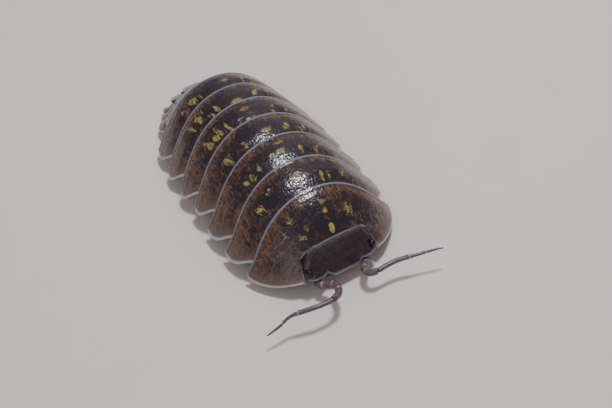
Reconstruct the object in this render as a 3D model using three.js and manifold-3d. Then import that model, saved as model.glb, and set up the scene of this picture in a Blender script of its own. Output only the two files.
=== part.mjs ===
// A pill woodlouse at life size, standing on its fourteen feet. Millimetres, +Z up.
// The head points to -Y, the animal's right side is at -X, and the floor is at Z = 0.
import * as THREE from 'three';
import { mergeVertices } from 'three/addons/utils/BufferGeometryUtils.js';
import Module from 'manifold-3d';

const wasm = await Module();
wasm.setup();

// Driving dimensions
const GAP = 0.3; // clearance between neighbouring pieces
const NECK_DEPTH = 0.52; // how deep a plate's front sits under the plate before it
const NECK_REACH = 0.6; // how far round the arch that front goes, as a share
const LIP_EDGE = 0.2; // thickness of a plate's rear edge
const LIP_REACH = 0.35; // how far that edge overhangs
const STEP = 0.04; // length of a square step along the body
const FRONT_Y = -7.27; // where the first plate meets the head, on the mid-line
const PLATE_LENGTHS = [2.15, 1.86, 1.8, 1.62, 1.54, 1.5, 1.42]; // along the back, first to seventh
const TAIL_LENGTHS = [0.3, 0.34, 0.44, 0.4, 0.34]; // the five short tail rings
const HALF_ARCH_STEPS = 12; // facets from the mid-line to a plate's tip
const UNDER_STEPS = 6; // facets from a plate's tip back to the mid-line
const TIP_EDGE = 0.22; // thickness at the side plates' tips
const LOBE_THICKNESS = 0.62; // and higher up, where they leave the belly
const NECK_HOLLOW = 0.1; // rise of the underside between a plate's short front and the belly
const LOBE_FROM = 0.8; // sections that reach further round than this have side lobes
const LOBE_REACHES = [0.87, 0.945, 0.985]; // of a plate's sections, from front to rear
const BELLY_SHARE = 0.55; // half-width of the belly, as a share of the plates'
const BELLY_SAG = 0.16; // how far the belly hangs at its middle
const BELLY_SIDE_SAG = 0.12; // and halfway from there to its side
const SHOULDER_SHARE = 0.55; // half-width of the arch's nearly level top, as a share of its own
const FLANK_SHARE = 0.52; // how far up the flanks run straight, as a share of the arch's rise
const UNDERARM_SHARE = 0.8; // where the side lobes' underside is most hollow, as a share of their reach

// Outlines of the body along y, each as [y, value] pairs
const BACK_HEIGHT = [
  [-7.3, 2.4], [-5.1, 3.6], [-1.4, 4.0], [1.7, 3.85], [4.6, 3.2],
  [5.3, 2.5], [6.0, 1.74], [6.7, 1.1], [7.3, 0.7],
];
const HALF_WIDTH = [
  [-8.0, 2.35], [-7.2, 3.2], [-6.5, 3.82], [-5.7, 4.12], [-3.2, 4.22], [0.8, 4.13], [4.0, 3.57], [4.9, 3.05],
  [5.6, 2.5], [6.3, 1.95], [7.0, 1.4],
];
const TIP_HEIGHT = [
  [-8.0, 0.9], [-7.2, 0.55], [-6.7, 0.46], [-6.1, 0.46], [-5.4, 0.55], [-4.6, 0.58], [0, 0.58], [4.0, 0.48],
  [7.0, 0.35],
];
const TIP_LEAD = [[-7.3, 0.73], [-5.1, 0.85], [0.1, 0.84], [3.2, 0.74], [4.6, 0.56], [5.3, 0.4], [6.4, 0.1]];
const BELLY_HEIGHT = [[-7.3, 1.05], [-6.0, 1.5], [3.6, 1.5], [5.0, 1.2], [6.5, 0.55]];
const FLARE_DEG = [[-8.0, 6], [-6.4, 30], [-4.0, 34], [5.0, 34], [7.0, 20]];

// The first plate's front edge, round the head, as [x, z] pairs from the mid-line to the tip
const OPENING = [[0, 2.24], [0.8, 2.23], [1.4, 2.18], [1.78, 2.02], [1.92, 1.72], [1.98, 1.3], [2.04, 0.86]];

/** Smooth value at y through [y, value] pairs, with Catmull-Rom slopes. */
function along(pairs, y) {
  const last = pairs.length - 1;
  if (y <= pairs[0][0]) return pairs[0][1];
  if (y >= pairs[last][0]) return pairs[last][1];
  const i = pairs.findIndex((pair, k) => k < last && y < pairs[k + 1][0]);
  const slope = (k) => {
    const [a, b] = [pairs[Math.max(k - 1, 0)], pairs[Math.min(k + 1, last)]];
    return (b[1] - a[1]) / (b[0] - a[0]);
  };
  const span = pairs[i + 1][0] - pairs[i][0];
  const t = (y - pairs[i][0]) / span;
  const [t2, t3] = [t * t, t * t * t];
  return (2 * t3 - 3 * t2 + 1) * pairs[i][1] + (t3 - 2 * t2 + t) * span * slope(i)
    + (3 * t2 - 2 * t3) * pairs[i + 1][1] + (t3 - t2) * span * slope(i + 1);
}

/** The body's cross-section where its back is at yTop. Its tips lead or trail by the tip lead. */
function station(yTop, shift = 0, yTip = yTop - along(TIP_LEAD, yTop)) {
  return {
    yTop: yTop + shift,
    yTip: yTip + shift,
    point(t, depth) {
      return archPoint(this, t, depth);
    },
    width: along(HALF_WIDTH, yTip),
    top: along(BACK_HEIGHT, yTop),
    tip: along(TIP_HEIGHT, yTip),
    flare: THREE.MathUtils.degToRad(along(FLARE_DEG, yTip)),
    belly: along(BELLY_HEIGHT, yTop),
  };
}

/** A section of the first plate: share 0 has the head's opening for its outline, share 1 the arch. */
function frontStation(yTop, yTip, share) {
  const [top, tip] = [OPENING[0][1], OPENING.at(-1)[1]];
  const arched = station(yTop, 0, yTip);
  const mix = (a, b) => THREE.MathUtils.lerp(a, b, share);
  return {
    ...arched,
    point: (t, depth) => openingPoint(t, depth).lerp(archPoint(arched, t, depth), share),
    top: mix(top, arched.top),
    tip: mix(tip, arched.tip),
    width: mix(OPENING.at(-1)[0], arched.width),
  };
}

/** A point of the head's opening at t from 0, on the mid-line, to 1, at the tip, moved in by depth. */
function openingPoint(t, depth) {
  const path = new THREE.SplineCurve(OPENING.map(([x, z]) => new THREE.Vector2(x, z)));
  const run = path.getTangentAt(t);
  return path.getPointAt(t).add(new THREE.Vector2(run.y, -run.x).multiplyScalar(depth));
}

/** A point of the arch at t from 0, on the mid-line, to 1, at the tip, moved in by depth. */
function archPoint(s, t, depth) {
  const flank = FLANK_SHARE * (s.top - s.tip);
  const arch = new THREE.CubicBezierCurve(
    new THREE.Vector2(0, s.top),
    new THREE.Vector2(SHOULDER_SHARE * s.width, s.top),
    new THREE.Vector2(s.width - flank * Math.sin(s.flare), s.tip + flank * Math.cos(s.flare)),
    new THREE.Vector2(s.width, s.tip),
  );
  const run = arch.getTangent(t);
  return arch.getPoint(t).add(new THREE.Vector2(run.y, -run.x).multiplyScalar(depth));
}

/**
 * One closed loop round the body: over the arch, then back along the underside.
 * With a band thickness the way back follows the arch, and the loop bounds an overhanging edge.
 */
function ring(s, depth, reach, band = 0) {
  const outer = [];
  for (let k = 0; k <= HALF_ARCH_STEPS; k++) outer.push(s.point((reach * k) / HALF_ARCH_STEPS, depth));
  const inner = [];
  for (let k = 0; k < UNDER_STEPS && band > 0; k++) {
    inner.push(s.point(reach * (1 - k / UNDER_STEPS), depth + band));
  }
  if (band === 0) {
    const tipIn = s.point(reach, depth + TIP_EDGE);
    const root = new THREE.Vector2(BELLY_SHARE * s.width, s.belly);
    const lobed = reach > LOBE_FROM;
    const middle = tipIn.clone().lerp(root, 0.5).add(new THREE.Vector2(0, NECK_HOLLOW));
    const hollow = lobed ? s.point(reach * UNDERARM_SHARE, depth + LOBE_THICKNESS) : middle;
    const under = new THREE.QuadraticBezierCurve(tipIn, hollow, root);
    inner.push(...under.getPoints(UNDER_STEPS - 2), new THREE.Vector2(root.x / 2, s.belly - BELLY_SIDE_SAG));
  }
  const keel = band > 0 ? s.point(0, depth + band) : new THREE.Vector2(0, s.belly - BELLY_SAG);
  const half = [...outer, ...inner];
  const loop = [...half, keel, ...half.slice(1).reverse().map((p) => new THREE.Vector2(-p.x, p.y))];
  const lean = (s.yTip - s.yTop) / (s.top - s.tip);
  return loop.map((p) => new THREE.Vector3(p.x, s.yTop + lean * (s.top - p.y), p.y));
}

/** A closed geometry through loops of equally many points, with flat-projected ends. */
function loft(loops, project) {
  const n = loops[0].length;
  const positions = loops.flat().flatMap((p) => [p.x, p.y, p.z]);
  const index = [];
  for (let r = 0; r + 1 < loops.length; r++) {
    for (let k = 0; k < n; k++) {
      const [a, b] = [r * n + k, r * n + ((k + 1) % n)];
      index.push(a, b, b + n, a, b + n, a + n);
    }
  }
  const cap = (start, withLoop) => {
    const flat = loops[start / n].map(project);
    const turn = Math.sign(THREE.ShapeUtils.area(flat)) * (withLoop ? 1 : -1);
    for (const face of THREE.ShapeUtils.triangulateShape(flat, [])) {
      const ahead = Math.sign(THREE.ShapeUtils.area(face.map((v) => flat[v]))) === turn;
      const corners = face.map((v) => v + start);
      index.push(...(ahead ? corners : corners.reverse()));
    }
  };
  cap(0, false);
  cap((loops.length - 1) * n, true);
  const geometry = new THREE.BufferGeometry();
  geometry.setAttribute('position', new THREE.Float32BufferAttribute(positions, 3));
  geometry.setIndex(index);
  return facingOut(geometry);
}

/** Signed volume: below zero when the faces point inwards. */
function volume(geometry) {
  const p = geometry.getAttribute('position');
  const [a, b, c] = [new THREE.Vector3(), new THREE.Vector3(), new THREE.Vector3()];
  let sum = 0;
  for (let k = 0; k < geometry.index.count; k += 3) {
    a.fromBufferAttribute(p, geometry.index.getX(k));
    b.fromBufferAttribute(p, geometry.index.getX(k + 1));
    c.fromBufferAttribute(p, geometry.index.getX(k + 2));
    sum += a.dot(b.cross(c)) / 6;
  }
  return sum;
}

/** The same geometry, with its faces turned outwards. */
function facingOut(geometry) {
  if (volume(geometry) < 0) geometry.setIndex(Array.from(geometry.index.array).reverse());
  return geometry;
}

/** A solid for unions and cuts, from a closed geometry. */
function solidOf(geometry) {
  const bare = geometry.clone();
  for (const name of Object.keys(bare.attributes)) if (name !== 'position') bare.deleteAttribute(name);
  const merged = mergeVertices(bare, 1e-5);
  const mesh = new wasm.Mesh({
    numProp: 3,
    vertProperties: new Float32Array(merged.getAttribute('position').array),
    triVerts: new Uint32Array(merged.index.array),
  });
  return new wasm.Manifold(mesh);
}

/** The largest closed surface of a solid, as a geometry. */
function geometryOf(solid) {
  const largest = solid.decompose().sort((a, b) => b.volume() - a.volume())[0].simplify(0.01);
  const mesh = largest.getMesh();
  const geometry = new THREE.BufferGeometry();
  geometry.setAttribute('position', new THREE.Float32BufferAttribute(mesh.vertProperties, 3));
  geometry.setIndex(Array.from(mesh.triVerts));
  return geometry;
}

// Materials
const finish = (color, roughness) => new THREE.MeshStandardMaterial({ color, roughness, metalness: 0 });
const materials = {
  shell: finish(0x3a2a2a, 0.35),
  head: finish(0x241d27, 0.4),
  eye: finish(0x0a090c, 0.15),
  limb: finish(0x77696e, 0.5),
  tail: finish(0x4a3c38, 0.4),
};

const model = new THREE.Group();

/** Adds one named piece to the model. */
function add(name, geometry, material) {
  const mesh = new THREE.Mesh(geometry, material);
  mesh.name = name;
  model.add(mesh);
}

// Head: side profiles from ear to ear, lofted along X
const HEAD_HALF = 1.6; // half the head's width
const HEAD_REAR = { y: -7.5, z: 1.95, lean: 0.2 }; // its top rear edge, and the lean of its back
const CHEEK = { y: -7.82, z: 1.5, footZ: 0.95 }; // front, top and underside of the head at its sides
const CHEEK_ROUNDING = 0.65; // share of the ridge's reach that is lost there
const CHIN = { y: -7.97, depth: 0.6 }; // the mouth's front, and its depth below the cheeks
const FOREHEAD = 0.3; // how far the face bulges between its rear edge and the ridge
const RIDGE = { y: -7.95, z: 1.02, lip: 0.1 }; // the frontal ridge between shield and lobes
const SHIELD = { reach: 0.36, drop: 0.24, end: [0.85, 1.05] }; // the shield beyond it
const LOBE = { reach: 0.18, rise: 0.05, start: [1.0, 1.2], end: [1.45, HEAD_HALF] }; // and each lobe
const EYE_AT = new THREE.Vector3(1.5, -7.86, 1.36);
const EYE_RADII = new THREE.Vector3(0.2, 0.3, 0.24);

/** The frontal ridge, as y and z at a distance x from the mid-line: a shield between two lobes. */
function ridge(x) {
  const { smoothstep } = THREE.MathUtils;
  const shield = 1 - smoothstep(x, ...SHIELD.end);
  const lobe = smoothstep(x, ...LOBE.start) * (1 - smoothstep(x, ...LOBE.end));
  return {
    y: RIDGE.y - SHIELD.reach * shield * (1 - 0.22 * x * x) - LOBE.reach * lobe,
    z: RIDGE.z - SHIELD.drop * shield * (1 - 0.12 * x * x) + LOBE.rise * lobe,
  };
}

/** The head's outline from the side at a distance x from the mid-line, as one closed loop. */
function headProfile(x) {
  const side = Math.abs(x) / HEAD_HALF;
  const round = Math.sqrt(Math.max(0, 1 - side ** 6));
  const front = ridge(Math.abs(x));
  const topZ = THREE.MathUtils.lerp(CHEEK.z, HEAD_REAR.z, round);
  const footZ = CHEEK.footZ - CHIN.depth * Math.sqrt(Math.max(0, 1 - side ** 3));
  const frontY = THREE.MathUtils.lerp(CHEEK.y, front.y, 1 - CHEEK_ROUNDING * (1 - round));
  const rear = (z) => HEAD_REAR.y - HEAD_REAR.lean * (HEAD_REAR.z - z);
  const at = (y, z) => new THREE.Vector3(x, y, z);
  const vertex = (share) => at(
    THREE.MathUtils.lerp(rear(topZ) - 0.07, frontY, share),
    THREE.MathUtils.lerp(topZ, front.z + 0.03, share) + FOREHEAD * share * (1 - share),
  );
  const midZ = (topZ + footZ) / 2;
  return [
    at(rear(midZ), midZ),
    at(rear(topZ - 0.1), topZ - 0.1),
    vertex(0), vertex(0.25), vertex(0.5), vertex(0.75), vertex(1),
    at(frontY + 0.03, front.z + 0.03 - RIDGE.lip),
    at(frontY + 0.14 * round + 0.02, front.z - 0.13),
    at(frontY + 0.18 * round + 0.05, (front.z + footZ) / 2),
    at(CHIN.y + 0.1 * side, footZ + 0.03),
    at(rear(footZ) - 0.06, footZ),
    at(rear(footZ + 0.14), footZ + 0.14),
  ];
}

const HEAD_STEPS = 22;
const headLoops = [];
for (let k = 0; k <= HEAD_STEPS; k++) {
  const share = (2 * k) / HEAD_STEPS - 1;
  headLoops.push(headProfile(HEAD_HALF * Math.sin((share * Math.PI) / 2)));
}
const headGeometry = loft(headLoops, (p) => new THREE.Vector2(p.y, p.z));

/** An ellipsoid whose poles point to the sides. */
function ellipsoid(radii, centre, segments = 12) {
  return new THREE.SphereGeometry(1, segments, segments - 4)
    .rotateZ(Math.PI / 2).scale(radii.x, radii.y, radii.z).translate(centre.x, centre.y, centre.z);
}

const eyePocket = EYE_RADII.clone().addScalar(GAP);
let head = solidOf(headGeometry);
for (const side of [-1, 1]) {
  const centre = new THREE.Vector3(side * EYE_AT.x, EYE_AT.y, EYE_AT.z);
  head = head.subtract(solidOf(ellipsoid(eyePocket, centre)));
  add(side < 0 ? 'eye_right' : 'eye_left', ellipsoid(EYE_RADII, centre), materials.eye);
}
add('head', geometryOf(head), materials.head);

// Trunk: seven plates, each lofted from its tucked neck to its overhanging rear lip
const HEAD_POCKET = 0.12; // how far the first plate reaches over the back of the head
const HEAD_TIP_Y = -7.98; // where its front corners end beside the cheeks
const HEAD_POCKET_TIP_Y = -7.4; // and where the cheeks' pocket ends
const FRONT_EDGE = 0.2; // thickness of that plate's front edge

// Sections of the first plate behind the head's pocket: distance back on the mid-line and at the tip,
// and how much of the arch their outline has taken up
const FRONT_SECTIONS = [[0, 0, 0.12], [0.25, 0.12, 0.62], [0.6, 0.27, 1]];

// Sections of the other plates' necks: distance back, depth and reach
const NECK_SECTIONS = [
  [GAP - LIP_REACH, NECK_DEPTH, NECK_REACH],
  [0.2, NECK_DEPTH - 0.04, NECK_REACH + 0.03],
  [0.46, 0.2, LOBE_REACHES[0]],
];

// Sections of the overhanging rear edge: distance from its end, depth, and the furthest reach
const LIP_SECTIONS = [[LIP_REACH - STEP, 0.01, 1], [0.12, 0, 0.98], [0, 0, 0.94]];

const marginY = [FRONT_Y];
for (const length of PLATE_LENGTHS) marginY.push(marginY.at(-1) + length);

/** One plate of the trunk, from its neck under the plate before it to its overhanging rear edge. */
function plate(index) {
  const first = index === 0;
  const [front, rear] = [marginY[index], marginY[index + 1]];
  const [, middleReach, rearReach] = first ? [1, 1, 1] : LOBE_REACHES;
  const loops = [];
  if (first) {
    const floor = front + HEAD_POCKET;
    loops.push(ring(frontStation(front, HEAD_TIP_Y, 0), 0, 1, FRONT_EDGE));
    loops.push(ring(frontStation(floor - STEP, HEAD_POCKET_TIP_Y - STEP, 0.05), 0, 1, FRONT_EDGE));
    for (const [back, tipBack, share] of FRONT_SECTIONS) {
      loops.push(ring(frontStation(floor + back, HEAD_POCKET_TIP_Y + tipBack, share), 0, 1));
    }
  } else {
    for (const [back, depth, reach] of NECK_SECTIONS) loops.push(ring(station(front, back), depth, reach));
  }
  loops.push(ring(station((front + rear) / 2), 0.08, middleReach));
  loops.push(ring(station(rear, -LIP_REACH - 0.15), 0.03, rearReach));
  loops.push(ring(station(rear, -LIP_REACH), 0.01, rearReach));
  for (const [ahead, depth, reach] of LIP_SECTIONS) {
    loops.push(ring(station(rear, -ahead), depth, Math.min(reach, rearReach), LIP_EDGE));
  }
  return loft(loops, (p) => new THREE.Vector2(p.x, p.z));
}
PLATE_LENGTHS.forEach((_, index) => add(`pereonite_${index + 1}`, plate(index), materials.shell));

// Tail rings: one solid with five stepped plates, the last three with side lobes
const FIRST_LOBED = 2; // index of the first ring with lobes
const RING_REACH = { neck: 0.66, plain: 0.7, lobed: 0.97, step: 0.8 }; // how far round the arch they go
const RING_DEPTH = { edge: 0.1, step: 0.3 }; // how deep a ring's rear edge lies, and the step behind it
const RING_RAMP = { length: 0.14, depth: 0.04 }; // how a ring rises towards its edge
const tailLoops = [];
let tailY = marginY.at(-1);
tailLoops.push(ring(station(tailY, GAP - LIP_REACH), NECK_DEPTH, RING_REACH.neck));
tailLoops.push(ring(station(tailY, 0.18), NECK_DEPTH - 0.06, RING_REACH.neck + 0.02));
TAIL_LENGTHS.forEach((length, index) => {
  const lobed = index >= FIRST_LOBED;
  const last = index === TAIL_LENGTHS.length - 1;
  const reach = lobed ? RING_REACH.lobed : RING_REACH.plain;
  const widening = lobed ? 0.04 : 0.02;
  const stepReach = lobed && !last ? RING_REACH.step : RING_REACH.neck;
  const rear = tailY + length;
  tailLoops.push(ring(station(rear, -RING_RAMP.length), RING_DEPTH.edge + RING_RAMP.depth, reach - widening));
  tailLoops.push(ring(station(rear), RING_DEPTH.edge, reach));
  tailLoops.push(ring(station(rear, STEP), RING_DEPTH.step, stepReach));
  tailY = rear;
});
add('pleon', loft(tailLoops, (p) => new THREE.Vector2(p.x, p.z)), materials.tail);

// Telson and uropods: flat plates that close the tail's outline behind the last ring
const TAIL_SLOPE = 0.62; // fall of these plates for each step back
const TELSON_THICKNESS = 0.45;
const UROPOD_THICKNESS = 0.4;
const UROPOD_DROP = 0.12; // how much lower than the telson they lie
const telsonOutline = [
  [-0.78, 0], [0.78, 0], [0.62, 0.22], [0.46, 0.5], [0.26, 0.72], [0, 0.76],
  [-0.26, 0.72], [-0.46, 0.5], [-0.62, 0.22],
];
const uropodOutline = [[1.1, 0], [1.6, -0.1], [1.46, 0.28], [1.16, 0.56], [0.72, 0.74], [0.88, 0.36]];

/** A plate of the given outline whose front face stands upright and whose top falls away. */
function tailPlate(outline, thickness, drop) {
  const shape = new THREE.Shape(outline.map(([x, y]) => new THREE.Vector2(x, y)));
  const y0 = tailY + GAP;
  const fall = new THREE.Matrix4().makeShear(0, 0, 0, -TAIL_SLOPE, 0, 0);
  return new THREE.ExtrudeGeometry(shape, { depth: thickness, bevelEnabled: false })
    .translate(0, 0, -thickness)
    .applyMatrix4(fall)
    .translate(0, y0, along(BACK_HEIGHT, y0) - drop);
}
add('telson', tailPlate(telsonOutline, TELSON_THICKNESS, 0), materials.tail);
for (const side of [-1, 1]) {
  const outline = uropodOutline.map(([x, y]) => [side * x, y]);
  const uropod = tailPlate(outline, UROPOD_THICKNESS, UROPOD_DROP);
  add(side < 0 ? 'uropod_right' : 'uropod_left', uropod, materials.tail);
}

// Gill covers: five overlapping flaps a side, as one stepped piece under the tail
const FLAP_COUNT = 5;
const FLAP_PITCH = 0.22;
const FLAP_THICKNESS = 0.24;
const FLAP_STEP = 0.1; // how far each flap's rear edge hangs below the next one
const FLAPS_Y = 4.7; // front of the first
const FLAPS_X = [0.15, 1.15]; // inner and outer side

/** The flaps of one side, as a stepped prism. */
function flaps(side) {
  const topAt = (y) => along(BELLY_HEIGHT, y) - BELLY_SAG - GAP;
  const bottom = [];
  const top = [];
  for (let k = 0; k < FLAP_COUNT; k++) {
    const [y0, y1] = [FLAPS_Y + k * FLAP_PITCH, FLAPS_Y + (k + 1) * FLAP_PITCH];
    bottom.push([y0, topAt(y0) - FLAP_THICKNESS], [y1, topAt(y1) - FLAP_THICKNESS - FLAP_STEP]);
    top.push([y0, topAt(y0)]);
  }
  top.push([bottom.at(-1)[0], topAt(bottom.at(-1)[0])]);
  const outline = [...bottom, ...top.reverse()].map(([y, z]) => new THREE.Vector2(y, z));
  const depth = FLAPS_X[1] - FLAPS_X[0];
  const geometry = new THREE.ExtrudeGeometry(new THREE.Shape(outline), { depth, bevelEnabled: false });
  const basis = new THREE.Matrix4().makeBasis(
    new THREE.Vector3(0, 1, 0), new THREE.Vector3(0, 0, 1), new THREE.Vector3(1, 0, 0),
  );
  return geometry.applyMatrix4(basis).translate(side < 0 ? -FLAPS_X[1] : FLAPS_X[0], 0, 0);
}
for (const side of [-1, 1]) add(side < 0 ? 'pleopods_right' : 'pleopods_left', flaps(side), materials.limb);

/** A limb swept through joints given as { at, r }, with flat ends. */
function limb(joints, sides = 8) {
  const loops = [];
  const points = joints.map((j) => j.at);
  const up = new THREE.Vector3(0, 0, 1);
  joints.forEach((joint, k) => {
    const before = points[Math.max(k - 1, 0)];
    const after = points[Math.min(k + 1, points.length - 1)];
    const run = joint.face ?? after.clone().sub(before).normalize();
    const across = new THREE.Vector3().crossVectors(joint.up ?? up, run).normalize();
    const over = new THREE.Vector3().crossVectors(run, across).normalize();
    const loop = [];
    for (let n = 0; n < sides; n++) {
      const angle = (2 * Math.PI * (n + 0.5)) / sides;
      loop.push(joint.at.clone()
        .addScaledVector(across, joint.r * Math.cos(angle))
        .addScaledVector(over, joint.r * Math.sin(angle)));
    }
    loops.push(loop);
  });
  return loftFan(loops);
}

/** Like loft, for convex loops: each end is a fan. */
function loftFan(loops) {
  const n = loops[0].length;
  const positions = loops.flat().flatMap((p) => [p.x, p.y, p.z]);
  const index = [];
  for (let r = 0; r + 1 < loops.length; r++) {
    for (let k = 0; k < n; k++) {
      const [a, b] = [r * n + k, r * n + ((k + 1) % n)];
      index.push(a, b, b + n, a, b + n, a + n);
    }
  }
  const last = (loops.length - 1) * n;
  for (let k = 1; k + 1 < n; k++) {
    index.push(0, k + 1, k);
    index.push(last, last + k, last + k + 1);
  }
  const geometry = new THREE.BufferGeometry();
  geometry.setAttribute('position', new THREE.Float32BufferAttribute(positions, 3));
  geometry.setIndex(index);
  return facingOut(geometry);
}

// Legs: seven pairs, from under the belly out and down to a small flat foot
// Each joint's distance out, height from the hip, and radius, for the widest part of the body
const LEG_KNEES = [
  [0, 0, 0.29], [0.36, -0.3, 0.29], [0.66, -0.35, 0.27], [0.98, -0.38, 0.27], [1.28, -0.54, 0.25],
  [1.46, -0.82, 0.22], [1.56, -1.06, 0.17], [1.58, -1.2, 0.13],
];
const [FOOT_OUT, FOOT_DOWN] = LEG_KNEES.at(-1);
const WIDEST = 4.2; // half-width of the body that these joints are for
const HIP_OUT = 0.34; // place of the hips, as a share of the half-width
const HIP_CLEARANCE = GAP + 0.14; // below the plate's root
const HIP_BACK = { first: 0.95, other: 0.55 }; // place of the hips along their plate, as a share
const FAN = 0.16; // how much further back each pair of feet stands than the pair before it
const STRIDE = 0.14; // how far the walk moves a foot forwards or back
const SWING_POWER = 1.3; // above 1, a leg bends back more towards its foot

/** One leg, in its phase of the walk. */
function leg(index, side) {
  const s0 = station(marginY[index]);
  const s1 = station(marginY[index + 1]);
  const yAt = (s, z) => s.yTop + ((s.yTip - s.yTop) * (s.top - z)) / (s.top - s.tip);
  const hipZ = s1.belly - HIP_CLEARANCE;
  const back = index === 0 ? HIP_BACK.first : HIP_BACK.other;
  const hipY = THREE.MathUtils.lerp(yAt(s0, hipZ), yAt(s1, hipZ), back);
  const hipX = HIP_OUT * s1.width;
  const swing = FAN * (index - 3) + STRIDE * Math.sin(1.9 * index + 1.3 * side);
  const spread = s1.width / WIDEST;
  const joints = LEG_KNEES.map(([out, down, r], k) => ({
    at: new THREE.Vector3(
      side * (hipX + spread * out),
      hipY + swing * (out / FOOT_OUT) ** SWING_POWER,
      hipZ * (1 - down / FOOT_DOWN),
    ),
    r,
    up: new THREE.Vector3(0, 1, 0),
    face: k === 0 || k === LEG_KNEES.length - 1 ? new THREE.Vector3(0, 0, -1) : undefined,
  }));
  return limb(joints);
}
for (let index = 0; index < PLATE_LENGTHS.length; index++) {
  for (const side of [-1, 1]) {
    add(`leg_${index + 1}_${side < 0 ? 'right' : 'left'}`, leg(index, side), materials.limb);
  }
}

// Antennae: stalk and whip, each its own node, in the pose of a feeling animal
const ANTENNAE = {
  right: {
    stalk: [
      [-1.3, -8.42, 0.62], [-1.2, -8.6, 0.72], [-1.02, -8.86, 0.95], [-0.98, -9.3, 1.1], [-1.2, -9.68, 1.2],
      [-1.55, -9.92, 1.28],
    ],
    whip: [
      [-1.9, -9.98, 1.3], [-2.82, -9.83, 1.3], [-3.73, -9.61, 1.2], [-4.39, -9.69, 1.0], [-5.12, -9.71, 0.8],
    ],
  },
  left: {
    stalk: [
      [1.15, -8.42, 0.62], [0.99, -8.68, 0.74], [0.85, -8.94, 0.86], [0.85, -9.2, 0.95], [0.97, -9.37, 1.0],
    ],
    whip: [
      [1.3, -9.42, 1.04], [2.33, -9.42, 1.1], [3.19, -9.68, 1.15], [4.03, -9.93, 1.2], [4.39, -10.06, 1.2],
    ],
  },
};
const STALK_RADIUS = 0.27;
const WHIP_RADIUS = 0.25;
const WHIP_TIP = 0.12;
const STALK_STEPS = 10;
const WHIP_STEPS = 14;

/** A limb along a smooth curve, whose radius changes mostly near its end. */
function feeler(points, startRadius, endRadius, steps) {
  const curve = new THREE.CatmullRomCurve3(points.map((p) => new THREE.Vector3(...p)), false, 'centripetal');
  const joints = [];
  for (let k = 0; k <= steps; k++) {
    const share = k / steps;
    joints.push({
      at: curve.getPointAt(share),
      r: THREE.MathUtils.lerp(startRadius, endRadius, share ** 2),
      face: curve.getTangentAt(share),
    });
  }
  return limb(joints);
}
for (const [side, { stalk, whip }] of Object.entries(ANTENNAE)) {
  add(`antenna_${side}_stalk`, feeler(stalk, STALK_RADIUS, WHIP_RADIUS, STALK_STEPS), materials.limb);
  add(`antenna_${side}_whip`, feeler(whip, WHIP_RADIUS, WHIP_TIP, WHIP_STEPS), materials.limb);
}

// The origin is the middle of the floor rectangle the animal covers
const covered = new THREE.Box3().setFromObject(model);
const middle = covered.getCenter(new THREE.Vector3());
for (const mesh of model.children) mesh.geometry.translate(-middle.x, -middle.y, -covered.min.z);

export default model;
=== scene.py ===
"""The looks of a pill woodlouse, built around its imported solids.

Shapes are worked out in millimetres in the body's own frame: x to the animal's left, y towards the tail,
z up from the floor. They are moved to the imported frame, in metres, when a mesh is made.
"""
import math

import bpy
import numpy as np
from mathutils import Matrix, Vector


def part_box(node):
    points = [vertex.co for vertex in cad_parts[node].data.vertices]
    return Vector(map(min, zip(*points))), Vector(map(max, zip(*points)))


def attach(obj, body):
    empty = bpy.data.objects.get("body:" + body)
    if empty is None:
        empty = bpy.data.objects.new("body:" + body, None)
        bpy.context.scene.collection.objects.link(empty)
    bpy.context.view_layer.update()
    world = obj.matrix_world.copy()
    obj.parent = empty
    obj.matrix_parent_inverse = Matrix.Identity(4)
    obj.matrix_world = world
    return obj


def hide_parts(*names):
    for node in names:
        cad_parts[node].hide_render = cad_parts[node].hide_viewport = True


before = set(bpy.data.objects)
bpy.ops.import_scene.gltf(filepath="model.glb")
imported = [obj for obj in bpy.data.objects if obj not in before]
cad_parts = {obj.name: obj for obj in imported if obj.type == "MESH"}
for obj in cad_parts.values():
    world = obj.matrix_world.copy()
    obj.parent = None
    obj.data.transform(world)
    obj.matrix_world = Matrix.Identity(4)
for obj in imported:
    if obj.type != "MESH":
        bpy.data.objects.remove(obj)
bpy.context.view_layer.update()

MM = 0.001
FRONT_Y = -7.27  # where the first plate meets the head, on the mid-line
PLATE_LENGTHS = [2.15, 1.86, 1.8, 1.62, 1.54, 1.5, 1.42]  # along the back, first to seventh
TAIL_LENGTHS = [0.3, 0.34, 0.44, 0.4, 0.34]  # the five short tail rings
SHOULDER_SHARE = 0.55  # half-width of the arch's nearly level top, as a share of its own
FLANK_SHARE = 0.52  # how far up the flanks run straight, as a share of the arch's rise

# Outlines of the body along y, each as pairs of y and value
BACK_HEIGHT = [(-7.3, 2.4), (-5.1, 3.6), (-1.4, 4.0), (1.7, 3.85), (4.6, 3.2), (5.3, 2.5), (6.0, 1.74),
               (6.7, 1.1), (7.3, 0.7)]
HALF_WIDTH = [(-8.0, 2.35), (-7.2, 3.2), (-6.5, 3.82), (-5.7, 4.12), (-3.2, 4.22), (0.8, 4.13), (4.0, 3.57),
              (4.9, 3.05), (5.6, 2.5), (6.3, 1.95), (7.0, 1.4)]
TIP_HEIGHT = [(-8.0, 0.9), (-7.2, 0.55), (-6.7, 0.46), (-6.1, 0.46), (-5.4, 0.55), (-4.6, 0.58), (0, 0.58),
              (4.0, 0.48), (7.0, 0.35)]
TIP_LEAD = [(-7.3, 0.73), (-5.1, 0.85), (0.1, 0.84), (3.2, 0.74), (4.6, 0.56), (5.3, 0.4), (6.4, 0.1)]
BELLY_HEIGHT = [(-7.3, 1.05), (-6.0, 1.5), (3.6, 1.5), (5.0, 1.2), (6.5, 0.55)]
FLARE_DEG = [(-8.0, 6), (-6.4, 30), (-4.0, 34), (5.0, 34), (7.0, 20)]

# Rear edges of the plates and of the tail rings on the mid-line, each list starting with a front edge
margin_y = [FRONT_Y]
for length in PLATE_LENGTHS:
    margin_y.append(margin_y[-1] + length)
tail_y = [margin_y[-1]]
for length in TAIL_LENGTHS:
    tail_y.append(tail_y[-1] + length)

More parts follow.
